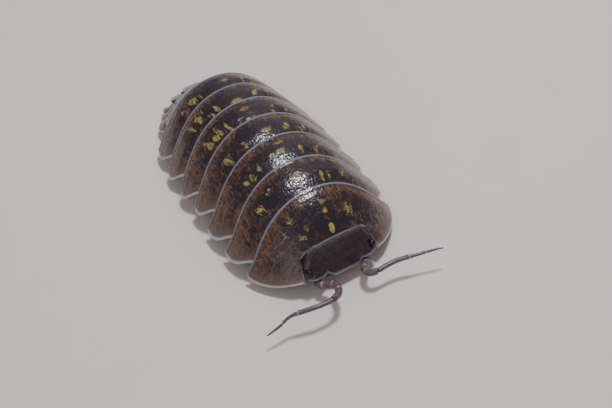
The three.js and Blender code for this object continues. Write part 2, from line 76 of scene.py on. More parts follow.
# The fourth plate is the same on both sides and its rear edge is known, so its box places the body
low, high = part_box("pereonite_4")
OFFSET = np.array([(low[0] + high[0]) / 2 / MM, high[1] / MM - margin_y[4], 0.0])


def along(pairs, y):
    """Smooth value at y through pairs of y and value, with Catmull-Rom slopes."""
    ys = np.array([pair[0] for pair in pairs], float)
    vs = np.array([pair[1] for pair in pairs], float)
    y = np.clip(np.asarray(y, float), ys[0], ys[-1])
    slopes = np.empty(len(ys))
    slopes[0] = (vs[1] - vs[0]) / (ys[1] - ys[0])
    slopes[-1] = (vs[-1] - vs[-2]) / (ys[-1] - ys[-2])
    slopes[1:-1] = (vs[2:] - vs[:-2]) / (ys[2:] - ys[:-2])
    i = np.clip(np.searchsorted(ys, y, side="right") - 1, 0, len(ys) - 2)
    span = ys[i + 1] - ys[i]
    t = (y - ys[i]) / span
    t2, t3 = t * t, t * t * t
    return ((2 * t3 - 3 * t2 + 1) * vs[i] + (t3 - 2 * t2 + t) * span * slopes[i]
            + (3 * t2 - 2 * t3) * vs[i + 1] + (t3 - t2) * span * slopes[i + 1])


def smoothstep(a, b, x):
    """Smooth step from 0 at a to 1 at b."""
    t = np.clip((np.asarray(x, float) - a) / (b - a), 0, 1)
    return t * t * (3 - 2 * t)


def bell(x, centre, width):
    """A smooth hump of height 1 round centre."""
    return np.exp(-((np.asarray(x, float) - centre) / width) ** 2)


def crowded(share, amount):
    """Shares from -1 to 1, moved closer together towards both ends."""
    return np.sin(share * math.pi / 2 * amount) / math.sin(math.pi / 2 * amount)


def catmull_rom(a, b, c, d, t):
    """Point at share t between b and c, on a smooth curve through all four."""
    return 0.5 * (2 * b + (c - a) * t + (2 * a - 5 * b + 4 * c - d) * t ** 2
                  + (3 * b - a - 3 * c + d) * t ** 3)


def arch(y_top, t, depth):
    """Points of the body's arches: t from -1 to 1 across, each moved in by depth. All three broadcast."""
    y_top, t, depth = np.broadcast_arrays(*(np.asarray(a, float) for a in (y_top, t, depth)))
    y_tip = y_top - along(TIP_LEAD, y_top)
    width, top, tip = along(HALF_WIDTH, y_tip), along(BACK_HEIGHT, y_top), along(TIP_HEIGHT, y_tip)
    flare = np.radians(along(FLARE_DEG, y_tip))
    rise = top - tip
    s = np.abs(t)
    px = [0 * width, SHOULDER_SHARE * width, width - FLANK_SHARE * rise * np.sin(flare), width]
    pz = [top, top, tip + FLANK_SHARE * rise * np.cos(flare), tip]
    b = [(1 - s) ** 3, 3 * s * (1 - s) ** 2, 3 * s * s * (1 - s), s ** 3]
    d = [-3 * (1 - s) ** 2, 3 * (1 - s) ** 2 - 6 * s * (1 - s), 6 * s * (1 - s) - 3 * s * s, 3 * s * s]
    x, z = sum(b[k] * px[k] for k in range(4)), sum(b[k] * pz[k] for k in range(4))
    dx, dz = sum(d[k] * px[k] for k in range(4)), sum(d[k] * pz[k] for k in range(4))
    size = np.hypot(dx, dz)
    x, z = x + depth * dz / size, z - depth * dx / size
    y = y_top + (y_tip - y_top) * (top - z) / rise
    return np.stack([np.sign(t) * x, y, z], -1)


def y_at(y_top, z):
    """Where the body's leaning cross-section from y_top is at height z."""
    y_tip = y_top - along(TIP_LEAD, y_top)
    top, tip = along(BACK_HEIGHT, y_top), along(TIP_HEIGHT, y_tip)
    return y_top + (y_tip - y_top) * (top - z) / (top - tip)


def side_name(side):
    return "left" if side > 0 else "right"


# Meshes

def make_piece(name, points, faces, material, nodes=(), values=None):
    """A smooth mesh piece on the body from points in millimetres, with per-point values for its material."""
    mesh = bpy.data.meshes.new(name)
    mesh.from_pydata([tuple(p) for p in (np.asarray(points) + OFFSET) * MM], [], faces)
    mesh.validate()
    for key, data in (values or {}).items():
        layer = mesh.attributes.new(key, "FLOAT", "POINT")
        layer.data.foreach_set("value", np.asarray(data, np.float32).ravel())
    mesh.shade_smooth()
    mesh.materials.append(material)
    piece = bpy.data.objects.new(name, mesh)
    bpy.context.scene.collection.objects.link(piece)
    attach(piece, "root")
    if nodes:
        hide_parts(*nodes)


def grid_faces(rows, columns, wrap_rows=False, wrap_columns=False, flip=False):
    """Quads of a grid of points numbered row by row."""
    faces = []
    for r in range(rows if wrap_rows else rows - 1):
        row, next_row = r * columns, (r + 1) % rows * columns
        for c in range(columns if wrap_columns else columns - 1):
            following = (c + 1) % columns
            a, b, e, f = row + c, row + following, next_row + c, next_row + following
            faces.append((a, e, f, b) if flip else (a, b, f, e))
    return faces


def tube(path, radii, sides, flatten):
    """Points and faces of a closed tube along a path, flattened from above."""
    count = len(path)
    runs = np.gradient(path, axis=0)
    runs /= np.linalg.norm(runs, axis=1)[:, None]
    across = np.cross(np.array([0.0, 0.0, 1.0]), runs)
    across /= np.linalg.norm(across, axis=1)[:, None]
    over = np.cross(runs, across)
    angle = np.linspace(0, 2 * np.pi, sides, endpoint=False)
    ring = (np.cos(angle)[None, :, None] * across[:, None, :]
            + flatten * np.sin(angle)[None, :, None] * over[:, None, :])
    body = path[:, None, :] + radii[:, None, None] * ring
    points = np.concatenate([body.reshape(-1, 3), path[:1], path[-1:]])
    faces = grid_faces(count, sides, wrap_columns=True)
    first, last = count * sides, count * sides + 1
    for c in range(sides):
        following = (c + 1) % sides
        faces.append((first, following, c))
        faces.append((last, (count - 1) * sides + c, (count - 1) * sides + following))
    return points, faces


def smooth_path(points, count):
    """count points along a Catmull-Rom curve through points, evenly spread by length."""
    p = np.asarray(points, float)
    ext = np.vstack([2 * p[0] - p[1], p, 2 * p[-1] - p[-2]])
    t = np.linspace(0, 1, PATH_STEPS, endpoint=False)[:, None]
    fine = [catmull_rom(*ext[i - 1:i + 3], t) for i in range(1, len(ext) - 2)]
    fine = np.vstack(fine + [p[-1:]])
    run = np.concatenate([[0], np.cumsum(np.linalg.norm(np.diff(fine, axis=0), axis=1))])
    share = np.linspace(0, run[-1], count)
    return np.stack([np.interp(share, run, fine[:, k]) for k in range(3)], 1)


# Materials

def node_tree(name):
    """A new material, its node tree and its surface shader."""
    material = bpy.data.materials.new(name)
    material.use_nodes = True
    tree = material.node_tree
    return material, tree, tree.nodes["Principled BSDF"]


class Shade:
    """Short calls for making shader nodes in one tree, with lengths in millimetres."""

    def __init__(self, tree):
        self.tree = tree
        self.object = tree.nodes.new("ShaderNodeTexCoord").outputs["Object"]
        self.even = self.scaled(1.0, 1.0, 1.0)

    def value(self, key):
        node = self.tree.nodes.new("ShaderNodeAttribute")
        node.attribute_name = key
        return node.outputs["Fac"]

    def link(self, source, target):
        if isinstance(source, (int, float, tuple)):
            target.default_value = source
        else:
            self.tree.links.new(source, target)

    def scaled(self, x, y, z):
        node = self.tree.nodes.new("ShaderNodeMapping")
        node.inputs["Scale"].default_value = (x / MM, y / MM, z / MM)
        self.link(self.object, node.inputs["Vector"])
        return node.outputs["Vector"]

    def noise(self, vector, scale, detail, rough=0.55, warp=0.0):
        node = self.tree.nodes.new("ShaderNodeTexNoise")
        node.inputs["Scale"].default_value = scale
        node.inputs["Detail"].default_value = detail
        node.inputs["Roughness"].default_value = rough
        node.inputs["Distortion"].default_value = warp
        self.link(vector, node.inputs["Vector"])
        return node.outputs["Fac"]

    def cells(self, scale, spread=1.0):
        node = self.tree.nodes.new("ShaderNodeTexVoronoi")
        node.inputs["Scale"].default_value = scale
        node.inputs["Randomness"].default_value = spread
        self.link(self.even, node.inputs["Vector"])
        return node.outputs["Distance"]

    def ramp(self, source, a, b):
        node = self.tree.nodes.new("ShaderNodeMapRange")
        node.interpolation_type = "SMOOTHSTEP"
        node.inputs["From Min"].default_value = a
        node.inputs["From Max"].default_value = b
        self.link(source, node.inputs["Value"])
        return node.outputs["Result"]

    def math(self, operation, a, b=0.0):
        node = self.tree.nodes.new("ShaderNodeMath")
        node.operation = operation
        self.link(a, node.inputs[0])
        self.link(b, node.inputs[1])
        return node.outputs["Value"]

    def plus(self, a, b):
        return self.math("ADD", a, b)

    def times(self, a, b):
        return self.math("MULTIPLY", a, b)

    def wobble(self, noise, amount):
        """A noise, centred on zero and scaled."""
        return self.times(self.math("SUBTRACT", noise, 0.5), amount)

    def mix(self, share, a, b):
        node = self.tree.nodes.new("ShaderNodeMix")
        node.data_type = "RGBA"
        self.link(share, node.inputs[0])
        self.link(a, node.inputs[6])
        self.link(b, node.inputs[7])
        return node.outputs[2]

    def bump(self, height, distance, strength, before=None):
        node = self.tree.nodes.new("ShaderNodeBump")
        node.inputs["Strength"].default_value = strength
        node.inputs["Distance"].default_value = distance * MM
        self.link(height, node.inputs["Height"])
        if before is not None:
            self.link(before, node.inputs["Normal"])
        return node.outputs["Normal"]


def rgb(r, g, b):
    return (r, g, b, 1.0)


INK = rgb(0.016, 0.010, 0.018)
UMBER = rgb(0.056, 0.022, 0.017)
RUST = rgb(0.150, 0.062, 0.030)
TAN = rgb(0.23, 0.14, 0.085)
YELLOW = rgb(0.36, 0.33, 0.08)
OLIVE = rgb(0.17, 0.14, 0.05)
ORANGE = rgb(0.50, 0.27, 0.035)
SKIRT = rgb(0.130, 0.088, 0.073)
SKIRT_DARK = rgb(0.070, 0.036, 0.030)
SKIRT_EDGE = rgb(0.44, 0.41, 0.43)
REAR_RIM = rgb(0.17, 0.185, 0.25)
# The neck's rim colour: a real pale rim, painted paler than the rear rims as painted light that makes up for
# the shade it lies in
NECK_RIM_AND_PAINTED_LIGHT = rgb(0.27, 0.28, 0.34)
HEAD_DARK = rgb(0.014, 0.007, 0.014)
HEAD_PURPLE = rgb(0.040, 0.018, 0.027)
HEAD_SPECK = rgb(0.10, 0.08, 0.10)
HEAD_RIM = rgb(0.26, 0.27, 0.33)
EYE_BLACK = rgb(0.003, 0.003, 0.005)
EYE_FACET = rgb(0.008, 0.007, 0.011)
GRAIN_CELLS = 7.0  # pits of the chitin for each millimetre
NECK_RIM_AND_LIGHT_VALUE = 1.6  # value of "rim" that asks for the neck's paler edge, a real pale rim painted paler still as painted light against the shade it lies in


def shell_material():
    """Glossy mottled chitin: dark on the back, brown on the flanks, pale and thin at the skirts."""
    material, tree, shader = node_tree("plate_chitin")
    s = Shade(tree)
    lateral, rim, mark, warm, along_v = (s.value(key) for key in ("lateral", "rim", "mark", "warm", "along"))
    fine = s.noise(s.even, scale=4.6, detail=6.0, rough=0.66, warp=0.8)
    blotch = s.noise(s.scaled(1.0, 0.9, 1.0), scale=1.6, detail=4.0, rough=0.6, warp=1.2)
    worm_noise = s.noise(s.scaled(2.4, 0.85, 2.4), scale=2.0, detail=1.0, rough=0.5, warp=0.35)
    worm = s.ramp(s.math("ABSOLUTE", s.math("SUBTRACT", worm_noise, 0.5)), 0.075, 0.02)
    streak = s.noise(s.scaled(0.7, 6.0, 0.7), scale=1.0, detail=3.0, rough=0.6, warp=0.4)

    # The ground colour: browner on the flanks and in a band before the rear edge
    rear_band = s.times(s.ramp(along_v, 0.62, 0.86), 0.13)
    brown = s.plus(s.times(blotch, 0.55), s.times(fine, 0.45))
    brown = s.plus(brown, s.plus(rear_band, s.times(lateral, 0.20)))
    colour = s.mix(s.ramp(brown, 0.56, 0.72), INK, UMBER)
    colour = s.mix(s.times(s.ramp(brown, 0.66, 0.82), s.ramp(fine, 0.46, 0.60)), colour, RUST)
    thread = s.times(worm, s.ramp(brown, 0.52, 0.70))
    colour = s.mix(s.times(thread, 0.35), colour, TAN)
    flank = s.times(s.ramp(streak, 0.50, 0.66), s.ramp(lateral, 0.50, 0.74))
    colour = s.mix(s.times(flank, 0.5), colour, SKIRT)

    # The marks, with ragged edges
    ragged = s.plus(s.wobble(worm, 0.35), s.wobble(fine, 1.1))
    spotted = s.ramp(s.plus(mark, ragged), 0.54, 0.98)
    yellow = s.mix(s.ramp(fine, 0.36, 0.60), OLIVE, YELLOW)
    colour = s.mix(s.times(spotted, 0.8), colour, yellow)
    colour = s.mix(s.times(warm, s.ramp(fine, 0.36, 0.52)), colour, ORANGE)

    # The skirts, reached at an uneven line, and the pale edges
    skirt = s.mix(s.ramp(streak, 0.38, 0.62), SKIRT, SKIRT_DARK)
    skirt = s.mix(s.ramp(lateral, 0.86, 0.95), skirt, SKIRT)
    skirt = s.mix(s.ramp(lateral, 0.958, 0.984), skirt, SKIRT_EDGE)
    reach = s.plus(s.plus(lateral, s.wobble(blotch, 0.22)), s.wobble(streak, 0.12))
    colour = s.mix(s.ramp(reach, 0.74, 0.93), colour, skirt)
    colour = s.mix(s.math("MINIMUM", rim, 1.0), colour, REAR_RIM)
    # The neck's pale rim, partly painted light: paler than the rear rims to make up for the shade it lies in
    colour = s.mix(s.ramp(rim, 1.0, NECK_RIM_AND_LIGHT_VALUE), colour, NECK_RIM_AND_PAINTED_LIGHT)
    s.link(colour, shader.inputs["Base Color"])

    swell = s.noise(s.even, scale=3.2, detail=3.0, rough=0.55, warp=0.3)
    normal = s.bump(swell, distance=0.035, strength=0.7)
    normal = s.bump(s.cells(GRAIN_CELLS), distance=0.018, strength=0.6, before=normal)
    s.link(normal, shader.inputs["Normal"])
    s.link(normal, shader.inputs["Coat Normal"])
    s.link(s.plus(0.15, s.times(fine, 0.22)), shader.inputs["Roughness"])
    shader.inputs["Specular IOR Level"].default_value = 0.42
    shader.inputs["Coat Weight"].default_value = 0.22
    shader.inputs["Coat Roughness"].default_value = 0.11
    return material


def head_material():
    """Finely pitted purple-black chitin with a pale ridge."""
    material, tree, shader = node_tree("head_chitin")
    s = Shade(tree)
    fine = s.noise(s.even, scale=4.2, detail=5.0, rough=0.6, warp=0.4)
    speck = s.cells(GRAIN_CELLS)
    colour = s.mix(s.ramp(fine, 0.42, 0.68), HEAD_DARK, HEAD_PURPLE)
    colour = s.mix(s.times(s.ramp(speck, 0.16, 0.05), 0.35), colour, HEAD_SPECK)
    colour = s.mix(s.times(s.value("rim"), 0.8), colour, HEAD_RIM)
    s.link(colour, shader.inputs["Base Color"])
    s.link(s.bump(speck, distance=0.012, strength=0.6), shader.inputs["Normal"])
    shader.inputs["Roughness"].default_value = 0.34
    shader.inputs["Coat Weight"].default_value = 0.25
    return material


def limb_material(name, base, joint, rough):
    """Satin skin, mottled with a darker tone, and paler at the joints."""
    material, tree, shader = node_tree(name)
    s = Shade(tree)
    darker = rgb(*(0.6 * c for c in base[:3]))
    fine = s.noise(s.even, scale=6.0, detail=4.0, rough=0.6, warp=0.3)
    colour = s.mix(s.ramp(fine, 0.35, 0.7), base, darker)
    colour = s.mix(s.value("pale"), colour, joint)
    s.link(colour, shader.inputs["Base Color"])
    s.link(s.bump(fine, distance=0.02, strength=0.5), shader.inputs["Normal"])
    shader.inputs["Roughness"].default_value = rough
    return material


def eye_material():
    """Polished black with small facets."""
    material, tree, shader = node_tree("eye_chitin")
    s = Shade(tree)
    facet = s.cells(13.0, spread=0.25)
    s.link(s.mix(s.ramp(facet, 0.0, 0.5), EYE_BLACK, EYE_FACET), shader.inputs["Base Color"])
    s.link(s.bump(facet, distance=-0.01, strength=0.4), shader.inputs["Normal"])
    shader.inputs["Roughness"].default_value = 0.1
    shader.inputs["Specular IOR Level"].default_value = 0.35
    shader.inputs["Coat Weight"].default_value = 0.15
    return material


shell = shell_material()
head_shell = head_material()
eye_shell = eye_material()
feeler_skin = limb_material("feeler_skin", rgb(0.125, 0.086, 0.104), rgb(0.27, 0.23, 0.26), 0.33)
leg_skin = limb_material("leg_skin", rgb(0.19, 0.15, 0.13), rgb(0.42, 0.37, 0.33), 0.42)
belly_skin = limb_material("belly_skin", rgb(0.33, 0.28, 0.25), rgb(0.48, 0.43, 0.38), 0.5)


# Trunk plates

ACROSS = 181  # points across a plate
LENGTHWISE = 44  # points along its top
MARGIN_THICKNESS = 0.09
SHELL_THICKNESS = 0.15
SIDE_CROWDING = 0.86  # how much closer points stand towards the sides
TUCK = 0.16  # how far a plate goes on under the one before it, as a share of its length
TIP_THINNING, THIN_FROM = 0.35, 0.985  # thickness left at its tips, and where across the thinning starts
THINNING_DEPTH = 0.3  # the depth that stays where it is, as a share of SHELL_THICKNESS

# The pale lines along the rear edges and round the head: width, the share of it at full strength, and how
# much they fade towards the sides, over which shares across
RIM_WIDTH, RIM_CORE, RIM_FADE, RIM_FADE_SPAN = 0.10, 0.6, 0.45, (0.55, 0.95)
# The line round the head is partly painted light, painted paler and wider to make up for the shade it lies in
NECK_RIM_WIDTH, NECK_RIM_CORE, NECK_RIM_FADE, NECK_RIM_FADE_SPAN = 0.15, 2 / 3, 0.55, (0.55, 0.85)

# For each plate, how far round the arch its side lobes reach, and how far their rear corners trail
LOBE_SCALES = [1.0, 1.0, 0.995, 0.955, 0.985, 1.0, 1.0]
CORNER_TRAILS = [0.22, 0.22, 0.14, -0.06, -0.16, -0.06, 0.0]
TRAIL_ACROSS, TRAIL_ALONG = (0.78, 1.0), (0.35, 1.0)  # shares over which the trailing sets in

# How far round the arch a plate goes at its front, how much further behind, and what its rear corners lack
FRONT_REACH, REACH_GAIN, REACH_SPAN = 0.81, 0.19, (-0.12, 0.78)
CORNER_CUT, CORNER_SPAN = 0.02, (0.88, 1.0)
FIRST_CORNER_CUT, FIRST_CORNER_SPAN = 0.03, (0.9, 1.0)

# How far the plates lie under the body's outline, with places as shares along a plate
EVEN_SINK = 0.02
FRONT_SINK, SINK_SPAN = 0.17, (-0.1, 0.5)
FIRST_FRONT_SINK = 0.05
REAR_GROOVE, REAR_GROOVE_AT, REAR_GROOVE_WIDTH = 0.018, 0.9, 0.05
NECK_GROOVE, NECK_GROOVE_AT, NECK_GROOVE_WIDTH = 0.05, 0.075, 0.03  # behind the first plate's front edge

# The first plate's front edge round the head, from the mid-line to its tip
OPENING = [(0, -7.27, 2.22), (0.8, -7.27, 2.21), (1.4, -7.28, 2.16), (1.72, -7.30, 2.02), (1.84, -7.36, 1.72),
           (1.88, -7.6, 1.3), (1.92, -7.98, 0.86)]
OPENING_SPAN, OPENING_TIP_SPAN = (0.0, 0.42), (-0.03, 0.16)  # where the arch takes over from it

# The marks of each plate: share across, share along, half-width and half-length in mm, strength, warmth
MARKS = [
    [(0.045, 0.225, 0.17, 0.14, 1.7, 0), (0.05, 0.47, 0.13, 0.11, 1.1, 0.8), (0.06, 0.65, 0.18, 0.13, 1, 0.1),
     (0.28, 0.45, 0.16, 0.3, 0.85, 0), (0.335, 0.41, 0.12, 0.28, 0.85, 0), (-0.27, 0.74, 0.22, 0.3, 0.8, 0),
     (-0.31, 0.32, 0.24, 0.14, 0.8, 0), (-0.2, 0.38, 0.1, 0.1, 0.5, 0.5), (-0.42, 0.55, 0.2, 0.3, 0.6, 0)],
    [(0.01, 0.54, 0.16, 0.14, 1, 0.2), (-0.035, 0.5, 0.14, 0.14, 0.9, 0), (0.21, 0.3, 0.13, 0.32, 1, 0),
     (0.275, 0.26, 0.1, 0.26, 0.85, 0), (0.01, 0.2, 0.2, 0.16, 0.7, 0), (-0.44, 0.46, 0.24, 0.34, 0.8, 0),
     (-0.25, 0.57, 0.26, 0.2, 0.75, 0), (0.44, 0.4, 0.16, 0.3, 0.7, 0)],
    [(0.025, 0.43, 0.18, 0.16, 1.1, 0), (-0.05, 0.41, 0.2, 0.2, 0.95, 0), (0.045, 0.73, 0.26, 0.1, 0.7, 0.3),
     (0.2, 0.31, 0.13, 0.28, 1, 0.1), (0.375, 0.3, 0.16, 0.3, 0.85, 0), (-0.41, 0.34, 0.14, 0.18, 1, 0),
     (-0.32, 0.28, 0.2, 0.22, 0.8, 0), (-0.22, 0.4, 0.18, 0.28, 0.8, 0)],
    [(0.25, 0.32, 0.22, 0.24, 1, 0.1), (0.44, 0.3, 0.2, 0.24, 0.85, 0), (0.045, 0.37, 0.28, 0.14, 0.7, 0.35),
     (-0.44, 0.33, 0.24, 0.34, 0.95, 0), (-0.37, 0.44, 0.12, 0.24, 0.75, 0),
     (-0.2, 0.3, 0.18, 0.24, 0.75, 0)],
    [(-0.36, 0.32, 0.16, 0.2, 1.15, 0), (-0.29, 0.42, 0.14, 0.4, 0.95, 0), (-0.2, 0.26, 0.14, 0.36, 1, 0),
     (-0.47, 0.4, 0.26, 0.36, 0.8, 0), (0.02, 0.14, 0.26, 0.12, 0.75, 0), (0.02, 0.56, 0.2, 0.16, 0.5, 0.4),
     (0.27, 0.34, 0.18, 0.3, 0.85, 0), (0.42, 0.36, 0.18, 0.3, 0.7, 0), (0.11, 0.92, 0.34, 0.1, 0.8, 0)],
    [(-0.16, 0.28, 0.14, 0.26, 1, 0), (-0.25, 0.2, 0.18, 0.16, 0.9, 0), (0.03, 0.16, 0.3, 0.14, 1.2, 0.15),
     (-0.35, 0.5, 0.2, 0.44, 0.85, 0), (-0.26, 0.52, 0.14, 0.3, 0.7, 0), (-0.47, 0.54, 0.2, 0.36, 0.8, 0),
     (0.25, 0.36, 0.2, 0.26, 0.8, 0), (0.41, 0.4, 0.18, 0.26, 0.7, 0)],
    [(0.09, 0.48, 0.24, 0.16, 0.6, 0.5), (-0.29, 0.38, 0.24, 0.3, 0.9, 0), (-0.21, 0.32, 0.16, 0.26, 0.8, 0),
     (0.3, 0.4, 0.22, 0.26, 0.8, 0), (-0.44, 0.42, 0.2, 0.3, 0.7, 0)],
]
ARCH_LENGTH = 5.4  # from the mid-line to a plate's tip, round the arch
MARK_EDGE, WARM_EDGE = (2.2, 0.3), (1.3, 0.4)  # where marks start and are full, in squared half-sizes
WARM_LOSS = 0.5  # how much of its yellow a warm mark loses


def mark_values(k, t, v):
    """Strength of the yellow and of the orange marks on plate k."""
    mark = np.zeros(t.shape)
    warm = np.zeros(t.shape)
    for across, share, half_x, half_y, strength, warmth in MARKS[k]:
        d = ((t - across) * ARCH_LENGTH / half_x) ** 2 + ((v - share) * PLATE_LENGTHS[k] / half_y) ** 2
        mark = np.maximum(mark, strength * (1 - WARM_LOSS * warmth) * smoothstep(*MARK_EDGE, d))
        warm = np.maximum(warm, warmth * smoothstep(*WARM_EDGE, d))
    return mark, warm


def lobe_reach(k, v):
    """How far round the arch plate k reaches, by the share v of its visible length."""
    if k == 0:
        return 1.0 - FIRST_CORNER_CUT * smoothstep(*FIRST_CORNER_SPAN, v) ** 2
    reach = FRONT_REACH + REACH_GAIN * smoothstep(*REACH_SPAN, v)
    return LOBE_SCALES[k] * (reach - CORNER_CUT * smoothstep(*CORNER_SPAN, v) ** 2)


def plate_depth(k, v):
    """How far plate k's top lies under the body's outline, by the share v."""
    front = FIRST_FRONT_SINK if k == 0 else FRONT_SINK
    depth = EVEN_SINK + front * (1 - smoothstep(*SINK_SPAN, v))
    depth = depth + REAR_GROOVE * bell(v, REAR_GROOVE_AT, REAR_GROOVE_WIDTH)
    if k == 0:
        depth = depth + NECK_GROOVE * bell(v, NECK_GROOVE_AT, NECK_GROOVE_WIDTH)
    return depth


def head_opening(t):
    """The first plate's front edge at share t across."""
    path = np.array(OPENING)
    run = np.concatenate([[0], np.cumsum(np.linalg.norm(np.diff(path, axis=0), axis=1))])
    run /= run[-1]
    x, y, z = (along(list(zip(run, path[:, i])), np.abs(t)) for i in range(3))
    return np.stack([np.sign(t) * x, y, z], -1)


def plate_surface(k, t, v, depth):
    """Points of plate k at share across t and share along v."""
    front, rear = margin_y[k], margin_y[k + 1]
    points = arch(front + v * (rear - front), t * lobe_reach(k, v), depth + plate_depth(k, v))
    points[..., 1] += CORNER_TRAILS[k] * smoothstep(*TRAIL_ACROSS, np.abs(t)) * smoothstep(*TRAIL_ALONG, v)
    if k == 0:
        share = smoothstep(*OPENING_SPAN, v)
        share = (share + (smoothstep(*OPENING_TIP_SPAN, v) - share) * t ** 4)[..., None]
        inward = depth[..., None] * np.array([0.0, 0.0, -1.0])
        points = points * share + (head_opening(t) + inward) * (1 - share)
    return points


def shell_piece(name, surface, k, front, length, slot, nodes, neck_rim=False):
    """A closed thin plate: from its front over its top to the rear edge, round it, and back underneath."""
    half = MARGIN_THICKNESS / 2
    turn = np.linspace(0, np.pi, 7)[1:-1]
    v_top = np.linspace(front, 1, LENGTHWISE)
    v_turn = 1 + half * np.sin(turn) / length
    v_under = np.linspace(1, front, LENGTHWISE // 2)
    d_turn = half * (1 - np.cos(turn))
    d_under = MARGIN_THICKNESS + (SHELL_THICKNESS - MARGIN_THICKNESS) * smoothstep(1.0, 0.7, v_under)
    v = np.concatenate([v_top, v_turn, v_under])
    d = np.concatenate([np.zeros(LENGTHWISE), d_turn, d_under])
    t, v = np.meshgrid(crowded(np.linspace(-1, 1, ACROSS), SIDE_CROWDING), v)

    # The shell thins towards its sides, about its middle
    d = np.repeat(d[:, None], ACROSS, 1)
    middle = THINNING_DEPTH * SHELL_THICKNESS
    d = middle + (d - middle) * (TIP_THINNING + (1 - TIP_THINNING) * smoothstep(1.0, THIN_FROM, np.abs(t)))
    points = surface(k, t, v, d)

    rows = len(v)
    faces = grid_faces(rows, ACROSS, wrap_rows=True, flip=True)
    for side in (0, ACROSS - 1):
        for top_row in range((rows - 1) // 2):
            under_row = rows - 1 - top_row
            corners = (top_row, top_row + 1, under_row - 1, under_row)
            quad = [row * ACROSS + side for row in corners]
            faces.append(tuple(quad if side == 0 else quad[::-1]))

    s = np.abs(t)
    line = smoothstep(RIM_WIDTH, RIM_CORE * RIM_WIDTH, (1 - v) * length)
    rim = line * (1 - RIM_FADE * smoothstep(*RIM_FADE_SPAN, s))
    # The neck's pale rim, partly painted light that makes up for the shade it lies in
    if neck_rim:
        line = smoothstep(NECK_RIM_WIDTH, NECK_RIM_CORE * NECK_RIM_WIDTH, v * length)
        fading = 1 - NECK_RIM_FADE * smoothstep(*NECK_RIM_FADE_SPAN, s)
        rim = np.maximum(rim, NECK_RIM_AND_LIGHT_VALUE * line * fading)
    mark, warm = mark_values(k, t, v) if slot == "plate" else (0 * t, 0 * t)
    values = {"lateral": s, "rim": rim, "mark": mark, "warm": warm, "along": v}
    make_piece(name, points.reshape(-1, 3), faces, shell, nodes, values)


for k, length in enumerate(PLATE_LENGTHS):
    front = 0.0 if k == 0 else -TUCK
    shell_piece(f"plate_{k + 1}", plate_surface, k, front, length, "plate", [f"pereonite_{k + 1}"],
                neck_rim=k == 0)


# Tail rings, telson and uropods

FIRST_LOBED = 2  # index of the first ring with side lobes
RING_TUCK = 0.5
RING_SINK = 0.10
RING_FRONT_SINK = 0.12
PLAIN_REACH = 0.72  # how far round the arch the rings without lobes go
LOBED_REACH, LOBED_GAIN = 0.9, 0.1  # and those with lobes, at the front, and how much further at the rear
LOBE_SWEEP = 0.32  # how far the lobes point back

TELSON = [(-0.8, 0), (0, -0.08), (0.8, 0), (0.62, 0.32), (0.46, 0.62), (0.26, 0.84), (0, 0.9), (-0.26, 0.84),
          (-0.46, 0.62), (-0.62, 0.32)]
UROPOD = [(0.88, -0.02), (1.40, -0.1), (1.34, 0.3), (1.1, 0.62), (0.8, 0.84), (0.56, 0.88), (0.7, 0.56),
          (0.82, 0.26)]
TELSON_TUCK = 0.05  # how far the telson starts under the last ring
LEAF_THICKNESS = 0.24
LEAF_BULGE = 0.06
LEAF_EDGE = 0.02  # thickness at its edge
LEAF_CORE = 0.04  # size of its innermost ring of points, as a share
LEAF_STEPS = 5  # points for each corner of its outline
LEAF_TONE, LEAF_EDGE_TONE = 0.74, 0.2  # its place in the plates' colours, and how much further its edge is
LEAF_RIM, LEAF_RIM_SPAN = 0.8, (0.9, 1.0)
LEAF_SLOPE = 0.78  # fall for each step back
LEAF_DROP = 0.16  # how far the telson's front lies under the back
UROPOD_DROP = 0.24  # and how much lower the uropods lie
telson_y = tail_y[-1] - TELSON_TUCK


def tail_surface(k, t, v, depth):
    """Points of tail ring k at share across t and share along v."""
    front, rear = tail_y[k], tail_y[k + 1]
    lobed = k >= FIRST_LOBED
    reach = LOBED_REACH + LOBED_GAIN * smoothstep(0.0, 0.7, v) if lobed else PLAIN_REACH
    sunk = RING_SINK + RING_FRONT_SINK * (1 - smoothstep(-0.2, 0.6, v))
    points = arch(front + v * (rear - front), t * reach, depth + sunk)
    if lobed:
        points[..., 1] += LOBE_SWEEP * smoothstep(0.7, 1.0, np.abs(t)) * smoothstep(-0.2, 1.0, v)
    return points


for k, length in enumerate(TAIL_LENGTHS):
    nodes = ["pleon"] if k == 0 else []
    shell_piece(f"tail_ring_{k + 1}", tail_surface, k, -RING_TUCK, length, "tail_shell", nodes)


def leaf(outline, thickness, slope, bulge, y0, z0, rows):
    """A small closed plate of the given outline with a domed top, sheared down towards its end."""
    corners = np.array(outline, float)
    n = len(corners)
    ring = np.array([
        catmull_rom(corners[i - 1], corners[i], corners[(i + 1) % n], corners[(i + 2) % n], t)
        for i in range(n) for t in np.linspace(0, 1, LEAF_STEPS, endpoint=False)])
    centre = ring.mean(0)
    shares = np.concatenate([np.linspace(LEAF_CORE, 1, rows), np.linspace(1, LEAF_CORE, rows)])
    points = []
    for i, share in enumerate(shares):
        flat = centre + (ring - centre) * share
        lift = bulge * (1 - share ** 2) if i < rows else -thickness * (1 - share ** 6) - LEAF_EDGE
        points.append(np.stack([flat[:, 0], y0 + flat[:, 1], z0 - slope * flat[:, 1] + lift], 1))
    m = len(ring)
    faces = grid_faces(2 * rows, m, wrap_columns=True)
    faces.append(tuple(range(m))[::-1])
    faces.append(tuple(range((2 * rows - 1) * m, 2 * rows * m)))
    return np.concatenate(points), faces, np.repeat(shares, m)


